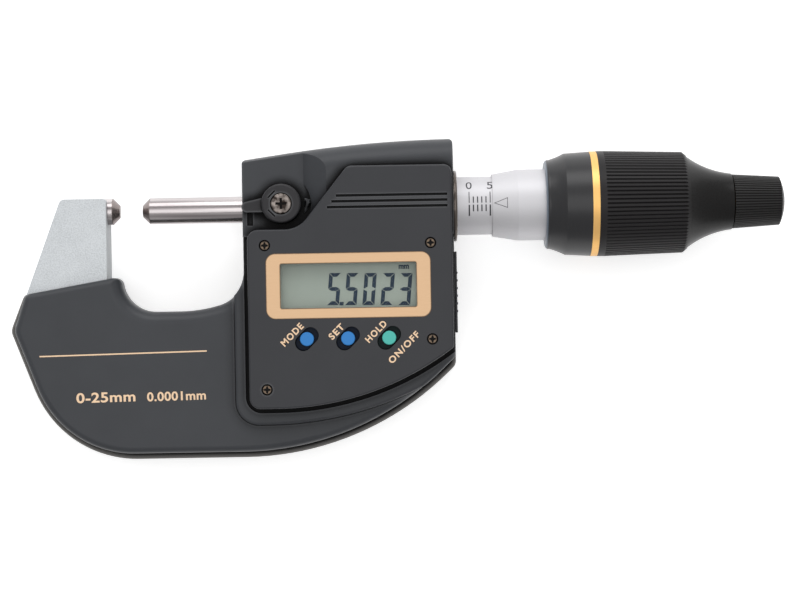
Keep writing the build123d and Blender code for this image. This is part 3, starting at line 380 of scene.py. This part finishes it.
# Painted shade: the cross recess and a ring at the head's edge, where it meets its hole, go near black.
out_of_cross_shade = screw_bronze.between(
    screw_bronze.axis(screw_bronze.place, "Z"), cross_floor, cross_brim,
)
off_edge_shade = screw_bronze.between(screw_bronze.rims(head_edge_reach), 0.2, 0.42, 1.0, 0.0)
head_colour = screw_bronze.blend(scuffed, tone(76, 64, 54), tone(136, 118, 100))
screw_bronze.set({
    "Base Color": screw_bronze.blend(out_of_cross_shade * off_edge_shade, tone(14, 13, 13), head_colour),
    "Roughness": 0.3 + 0.15 * scuffed,
})
dress(screw_bronze, "cover_screws")

bezel_edge_reach = 0.35 * mm
anodised = Finish("anodised_bezel", {"Metallic": 0.2, "Specular IOR Level": 0.3})
brushing = anodised.grain(1.0, 2.0, anodised.stretched(400, 5200, 400))
# Painted shade: a dark brown line along the bezel's edges.
bezel_edge_shade = anodised.between(anodised.rims(bezel_edge_reach), 0.12, 0.34, 0.0, 0.85)
brushed = anodised.blend(brushing, tone(216, 178, 139), tone(225, 188, 149))
anodised.set({
    "Base Color": anodised.blend(bezel_edge_shade, brushed, tone(74, 50, 32)),
    "Roughness": 0.36 + 0.12 * brushing,
})
dress(anodised, "display_bezel")

# Screen
# A clear acrylic window over a reflective liquid crystal panel. The figures are dark segments
# that lean to the right, with the unit beside them.
window = Finish("clear_window", {"Roughness": 0.06, "Specular IOR Level": 0.5})
dust = window.grain(0.8 * mm, 3.0)
window.set({
    "Base Color": window.blend(dust, tone(56, 60, 56), tone(68, 72, 68)),
    "Alpha": 0.03 + 0.03 * dust,
})
dress(window, "display_window")

crystal = Finish("liquid_crystal", {"Specular IOR Level": 0.35})
foil = crystal.grain(2.6 * mm, 3.0)
crystal.vary(foil, tone(161, 173, 163), tone(173, 184, 174), 0.42, 0.12)
dress(crystal, "lcd_panel")

segment_ink = Finish("dark_segments", {"Specular IOR Level": 0.3})
segment_grain = segment_ink.grain(0.3 * mm, 1.0)
segment_ink.vary(segment_grain, tone(24, 44, 62), tone(36, 58, 80), 0.45, 0.1)
figure_w = 2.85
figure_h = 7.55
stroke = 0.9
break_w = 0.09
lean_angle = 5.2
lean = math.tan(math.radians(lean_angle))
dot_x, dot_y = 53.16, -23.0
dot_half_w, dot_half_h = 0.47, 0.4
unit_x, unit_y = 66.75, -15.05
unit_w, unit_h, unit_weight = 2.45, 1.0, 0.045
segment_lift = 0.05 * mm
figure_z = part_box("lcd_panel")[1].z + segment_lift
segments_of = {"0": "abcdef", "2": "abged", "3": "abgcd", "5": "afgcd"}


def segment(letter):
    """The corners of one segment about the figure's middle, mitred where it meets its neighbours."""
    w, h, t, g = figure_w / 2, figure_h / 2, stroke, break_w
    if letter == "g":
        upper = [(g - w, 0), (t - w, t / 2), (w - t, t / 2)]
        return upper + [(w - g, 0), (w - t, -t / 2), (t - w, -t / 2)]
    if letter in "ad":
        up = 1 if letter == "a" else -1
        outer = [(g - w, up * h), (w - g, up * h)]
        return outer + [(w - t - g, up * (h - t)), (t + g - w, up * (h - t))]
    right = 1 if letter in "bc" else -1
    up = 1 if letter in "bf" else -1
    corners = [(w, h - g), (w, g), (w - t, t / 2 + g), (w - t, h - t - g)]
    return [(right * x, up * y) for x, y in corners]


def leaning(mesh, corners, x, y):
    """Adds a face with these corners about x, y, leaning as the figures do."""
    places = [((x + px + py * lean) * mm, (y + py) * mm, figure_z) for px, py in corners]
    mesh.faces.new([mesh.verts.new(place) for place in places])


reading = bmesh.new()
for character, x, y in (
    ("5", 51.45, -19.52), ("5", 55.6, -19.59), ("0", 59.82, -19.66),
    ("2", 64.09, -19.73), ("3", 68.24, -19.81),
):
    for letter in segments_of[character]:
        leaning(reading, segment(letter), x, y)
dot = [(right * dot_half_w, up * dot_half_h) for right, up in ((-1, -1), (1, -1), (1, 1), (-1, 1))]
leaning(reading, dot, dot_x, dot_y)
bmesh.ops.recalc_face_normals(reading, faces=reading.faces)
reading_mesh = bpy.data.meshes.new("reading")
reading.to_mesh(reading_mesh)
reading.free()
fixed("lcd_reading", reading_mesh, segment_ink, "frame")
unit_mesh = lettering("mm", unit_w * mm, unit_h * mm, unit_weight)
turned_to(unit_mesh, unit_x * mm, unit_y * mm, figure_z)
fixed("lcd_unit", unit_mesh, segment_ink, "frame")

# Keys
# Three silicone keys that stand in leaning slots, each with a round coloured button on a foot that
# is painted dark as the shade in its slot, and a metal dome below. The words beside them are printed
# in the same cream ink.
speck_depth = 0.006 * mm


def silicone(name, foot_shade, top, key):
    """Coloured silicone: the button's top has its own colour, and the part down in the slot is painted
    dark as shade.
    """
    skin = Finish(name, {"Specular IOR Level": 0.16})
    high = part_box(key)[1].z
    foot_z = high - 1.1 * mm
    button_z = high - 0.25 * mm
    # Painted shade: below button_z the silicone darkens, for the shade down in the slot.
    above_slot_shade = skin.between(skin.axis(skin.place, "Z"), foot_z, button_z)
    speck = skin.grain(0.3 * mm, 2.0)
    skin.set({"Base Color": skin.blend(above_slot_shade, foot_shade, top), "Roughness": 0.4 + 0.14 * speck})
    skin.relief(speck, speck_depth)
    return skin


blue_key = silicone("blue_silicone", tone(8, 24, 46), tone(58, 130, 200), "mode_button")
teal_key = silicone("teal_silicone", tone(8, 32, 32), tone(86, 188, 176), "hold_button")
dress(blue_key, "mode_button", "set_button")
dress(teal_key, "hold_button")
dress(cell_can, "button_domes")

panel_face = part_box("display_cover")[1].z
label_slope = 45.0
label_h = 1.62
label_weight = 0.03
label_spacing = 1.22
for name, words, x, y, length in (
    ("mode_label", "MODE", 39.76, -32.95, 6.5),
    ("set_label", "SET", 50.98, -31.6, 4.2),
    ("hold_label", "HOLD", 59.6, -32.42, 6.15),
    ("power_label", "ON/OFF", 64.9, -37.45, 9.5),
):
    mesh = lettering(words, length * mm, label_h * mm, label_weight, label_spacing)
    turned_to(mesh, x * mm, y * mm, panel_face + ink_t, label_slope)
    fixed(name, mesh, print_ink, "frame")

# Spindle clamp
# A moulded lever on a square-topped stem that presses a small pad on the spindle. A nickel-plated
# cross-slotted screw holds the lever down.
lever_plastic = moulded("lever_plastic", tone(28, 27, 30), tone(36, 35, 38), 0.46, 0.2 * mm)
dress(lever_plastic, "clamp_lever")

nickel = Finish("nickel_plate", {"Metallic": 1.0})
tarnish = nickel.grain(1.5 * mm, 2.0)
screw_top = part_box("clamp_screw")[1].z
slot_floor = screw_top - 0.6 * mm
slot_brim = screw_top - 0.25 * mm
# Painted shade: the screw's slot goes near black below its brim.
out_of_slot_shade = nickel.between(nickel.axis(nickel.place, "Z"), slot_floor, slot_brim)
mottled = nickel.between(tarnish, 0.38, 0.62)
mottle = nickel.blend(mottled, tone(44, 38, 35), tone(134, 126, 121))
nickel.set({
    "Base Color": nickel.blend(out_of_slot_shade, tone(22, 20, 20), mottle),
    "Roughness": 0.24 + 0.14 * tarnish,
})
dress(nickel, "clamp_screw", "clamp_stem", "clamp_pad")

# Sleeve
# The fixed inner sleeve, satin chromed, with a millimetre scale filled in black on both sides of
# its top line. A polished dark flange closes the housing around its foot.
blasting_depth = 0.004 * mm
chrome = Finish("satin_chrome", {"Metallic": 0.75, "Specular IOR Level": 0.3})
blasting = chrome.grain(0.09 * mm, 2.0)
chrome.vary(blasting, tone(202, 201, 204), tone(216, 215, 218), 0.52, 0.12)
chrome.relief(blasting, blasting_depth)
dress(chrome, "sleeve", "pointer_sleeve")

flange_bronze = Finish("burnished_flange", {"Metallic": 0.7})
lathed = flange_bronze.grain(1.0, 2.0, flange_bronze.stretched(5000, 80, 80))
flange_bronze.vary(lathed, tone(84, 77, 72), tone(102, 94, 88), 0.2, 0.1)
dress(flange_bronze, "sleeve_flange")

scale_ink = Finish("scale_ink", {"Specular IOR Level": 0.3})
fill_grain = scale_ink.grain(0.2 * mm, 1.0)
scale_ink.vary(fill_grain, tone(52, 52, 56), tone(72, 72, 77), 0.5, 0.15)
sleeve_r = 6.975 * mm
scale_lift = 0.015 * mm
arc_step = 0.3 * mm
zero_x = 83.8
scale_length = 25
long_above, long_below = (0.41, 3.17, 0.2), (-2.75, -0.03, 0.34)
short_above, short_below = (0.44, 1.96, 0.26), (-1.61, 0.0, 0.3)
digit_w, two_digits_w, number_h = 1.4, 3.1, 2.3
number_foot = 3.95


def wrapped(mesh, radius):
    """Bends a flat mesh of x and arc length round the sleeve, after slicing it finely enough."""
    cut = bmesh.new()
    cut.from_mesh(mesh)
    low = min(v.co.y for v in cut.verts)
    high = max(v.co.y for v in cut.verts)
    for i in range(1, math.ceil((high - low) / arc_step)):
        parts = cut.verts[:] + cut.edges[:] + cut.faces[:]
        bmesh.ops.bisect_plane(cut, geom=parts, plane_co=(0, low + i * arc_step, 0), plane_no=(0, 1, 0))
    for v in cut.verts:
        turn = v.co.y / radius
        v.co = (v.co.x, radius * math.sin(turn), radius * math.cos(turn))
    cut.to_mesh(mesh)
    cut.free()
    return mesh


marks = []
for n in range(scale_length + 1):
    strokes = (long_above, long_below) if n % 5 == 0 else (short_above, short_below)
    for low, high, width in strokes:
        x0 = (zero_x + n - width / 2) * mm
        x1 = (zero_x + n + width / 2) * mm
        marks.append([(x0, low * mm), (x1, low * mm), (x1, high * mm), (x0, high * mm)])
fixed("sleeve_marks", wrapped(sheet(marks), sleeve_r + scale_lift), scale_ink, "frame")

for n in range(0, scale_length + 1, 5):
    number = lettering(str(n), (digit_w if n < 10 else two_digits_w) * mm, number_h * mm)
    middle = max(v.co.x for v in number.vertices) / 2
    mesh = turned_to(number, (zero_x + n) * mm - middle, number_foot * mm, 0)
    fixed(f"sleeve_number_{n}", wrapped(mesh, sleeve_r + scale_lift), scale_ink, "frame")

# Pointer sleeve
# A chromed sleeve that slides with the spindle and doesn't turn. Its bevelled edge reads against
# the scale, and an outlined triangle on the bevel points at the mark.
bevel_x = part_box("pointer_sleeve")[0].x
bevel_edge_r = 7.5 * mm
bevel_rise = 1.05 / 6.1
pointer_line = 0.12
pointer_corners = ((89.8, 0.27), (92.85, 1.37), (92.85, -0.79))


def stroke_between(first, second, width):
    """A straight stroke as four corners, a little longer than its line so that corners close."""
    dx, dy = second[0] - first[0], second[1] - first[1]
    length = math.hypot(dx, dy)
    ux, uy = dx / length, dy / length
    half = width / 2
    corners = []
    for end, along, side in (
        (first, -half, half), (second, half, half), (second, half, -half), (first, -half, -half),
    ):
        corners.append(((end[0] + ux * along - uy * side) * mm, (end[1] + uy * along + ux * side) * mm))
    return corners


outline = []
for i in range(3):
    outline.append(stroke_between(pointer_corners[i], pointer_corners[(i + 1) % 3], pointer_line))
pointer_mesh = wrapped(sheet(outline), bevel_edge_r)
for v in pointer_mesh.vertices:
    bevel_r = bevel_edge_r + (v.co.x - bevel_x) * bevel_rise + scale_lift
    v.co = (v.co.x, v.co.y * bevel_r / bevel_edge_r, v.co.z * bevel_r / bevel_edge_r)
fixed("pointer_triangle", pointer_mesh, scale_ink, "spindle")

# Thimble
# The part that the hand turns: a black anodised collar, a gold ring and a grip with straight
# milled ribs that run out on its rear chamfer, all pressed on one hub.
collar_black = Finish("collar_anodising", {"Specular IOR Level": 0.45})
facing = collar_black.grain(1.0, 2.0, collar_black.stretched(6000, 260, 260))
collar_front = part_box("thimble_collar")[0].x
lip_end = collar_front + 0.12 * mm
ring_start = collar_front + 0.45 * mm
# Painted highlight: a thin blue-grey band round the collar's front lip.
past_lip_highlight = collar_black.between(
    collar_black.axis(collar_black.place, "X"), lip_end, ring_start,
)
faced = collar_black.blend(facing, tone(26, 26, 28), tone(36, 36, 39))
collar_black.set({
    "Base Color": collar_black.blend(past_lip_highlight, tone(116, 127, 141), faced),
    "Roughness": 0.3 + 0.08 * facing,
})
dress(collar_black, "thimble_collar")

flare_length = 11.9 * mm
flare_fade = 1.2 * mm
grip_black = Finish("deep_black", {"Specular IOR Level": 0.2})
matt = grip_black.grain(0.12 * mm, 2.0)
flare_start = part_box("thimble_grip")[1].x - flare_length
ribbed = grip_black.between(
    grip_black.axis(grip_black.place, "X"), flare_start, flare_start + flare_fade, 1.0, 0.0,
)
# Painted light: the ribbed part is painted lighter than the flare of the same black, for the light its
# ribs catch.
flare_colour = grip_black.blend(matt, tone(16, 15, 15), tone(24, 23, 23))
rib_lit_colour = grip_black.blend(matt, tone(30, 29, 30), tone(40, 38, 39))
grip_black.set({
    "Base Color": grip_black.blend(ribbed, flare_colour, rib_lit_colour),
    "Roughness": 0.22 + 0.16 * ribbed + 0.12 * matt,
})
dress(grip_black, "thimble_grip")

gold = Finish("gold_ring", {"Metallic": 0.65, "Specular IOR Level": 0.3})
polish = gold.grain(1.0, 2.0, gold.stretched(5200, 240, 240))
gold.vary(polish, tone(240, 186, 108), tone(252, 204, 130), 0.38, 0.12)
dress(gold, "thimble_ring")

# Speeder
# The small ribbed knob at the end. It drives the thimble through a friction clutch, so that the
# spindle closes with an even force, and a domed cap closes its end.
knob_black = Finish("knob_black", {"Specular IOR Level": 0.2})
knob_matt = knob_black.grain(0.12 * mm, 2.0)
knob_black.vary(knob_matt, tone(32, 31, 31), tone(44, 43, 43), 0.36, 0.14)
dress(knob_black, "speeder", "speeder_cap")
dress(ground_steel, "ratchet_screw", "clutch_washers")

# Output socket
# A moulded socket in the housing's right side for a data plug. A ribbed slide of the same black
# plastic covers it and moves aside to free it.
dress(black_plastic, "connector_cover", "output_socket")

# Inner pieces
# The bush, bearing, hub and nut of sintered bronze, and the boards of the encoder and display,
# which show only when the instrument is open.
bronze = Finish("sintered_bronze", {"Metallic": 0.9})
pores = bronze.grain(0.18 * mm, 3.0)
pore_depth = 0.01 * mm
bronze.vary(pores, tone(150, 112, 66), tone(192, 150, 96), 0.34, 0.22)
bronze.relief(pores, pore_depth)
dress(bronze, "spindle_bush", "rotor_bearing", "screw_nut", "thimble_hub", "clutch_disc")

board = Finish("circuit_board", {"Specular IOR Level": 0.5})
weave = board.grain(0.4 * mm, 2.0)
board.vary(weave, tone(20, 74, 46), tone(34, 96, 60), 0.34, 0.16)
dress(board, "circuit_board", "encoder_stator", "encoder_rotor")
dress(rubber, "lcd_strips", "spindle_seal")
dress(ground_steel, "thrust_ball", "lead_screw", "adjusting_nut")

# Table and light
# A plain white table under soft studio light: a broad lamp above the top edge of the instrument,
# a second over the camera, and a pale room all round.
white = (1.0, 1.0, 1.0, 1.0)
black = (0.0, 0.0, 0.0, 1.0)
floor_z = -13.0 * mm
reach = 3.0
floor_grey = (0.93, 0.93, 0.93, 1.0)
floor_glow = 0.5
room_low, room_high = 0.5, 0.83
middle_x = 0.07


def ray(tree, kind):
    """1 for light paths of this kind and 0 for the others."""
    return tree.add("ShaderNodeLightPath", {}, {}, kind)


floor_mesh = bpy.data.meshes.new("table_top")
floor_corners = [(x * reach, y * reach, floor_z) for x, y in ((-1, -1), (1, -1), (1, 1), (-1, 1))]
floor_mesh.from_pydata(floor_corners, [], [(0, 1, 2, 3)])
table = bpy.data.objects.new("table_top", floor_mesh)
bpy.context.scene.collection.objects.link(table)
table_white = Finish("table_white", {
    "Base Color": floor_grey, "Roughness": 0.9, "Specular IOR Level": 0.0, "Emission Strength": floor_glow,
})
seen_table = ray(table_white, "Is Camera Ray") + ray(table_white, "Is Glossy Ray")
seen_table = seen_table + ray(table_white, "Is Transmission Ray")
table_white.set({"Emission Color": table_white.blend(seen_table, black, white)})
floor_mesh.materials.append(table_white.material)

world = bpy.data.worlds.new("pale_room")
bpy.context.scene.world = world
room = Tree(world)
toward_top = room.axis(room.add("ShaderNodeTexCoord", {}, {}, "Generated"), "Y")
glow = room.between(toward_top, -1.0, 1.0, room_low, room_high)
sky = room.add("ShaderNodeBackground", {}, {"Color": white, "Strength": glow})
plain = room.add("ShaderNodeBackground", {}, {"Color": white})
seen_room = ray(room, "Is Camera Ray") + ray(room, "Is Transmission Ray")
choice = room.add("ShaderNodeMixShader", {}, {0: seen_room, 1: sky, 2: plain})
room.node("ShaderNodeOutputWorld", {}, {"Surface": choice})


def lamp(name, y, z, width, height, power):
    """A soft lamp above the instrument's middle line that faces its middle."""
    light = bpy.data.lights.new(name, "AREA")
    light.shape = "RECTANGLE"
    light.size = width
    light.size_y = height
    light.energy = power
    source = bpy.data.objects.new(name, light)
    source.location = (middle_x, y, z)
    aim = source.location.copy()
    aim.x -= middle_x
    source.rotation_euler = aim.to_track_quat("Z", "Y").to_euler()
    bpy.context.scene.collection.objects.link(source)


lamp("window_lamp", 1.0, 0.6, 1.1, 0.6, 5.2)
lamp("ceiling_lamp", 0.0, 1.3, 0.8, 0.8, 2.5)

# Camera
# Straight above the instrument and turned by about a degree, as the photograph was taken.
# The whole instrument is in sharp focus.
camera_place = (66.95 * mm, -22.38 * mm, 520 * mm)
camera_roll = -0.98
camera_data = bpy.data.cameras.new("camera")
camera_data.sensor_width = 36.0
camera_data.lens = 97.11
camera_data.clip_start = 0.01
camera = bpy.data.objects.new("camera", camera_data)
camera.location = camera_place
camera.rotation_euler = (0, 0, math.radians(camera_roll))
bpy.context.scene.collection.objects.link(camera)
bpy.context.scene.camera = camera
bpy.context.scene.view_settings.view_transform = "Standard"
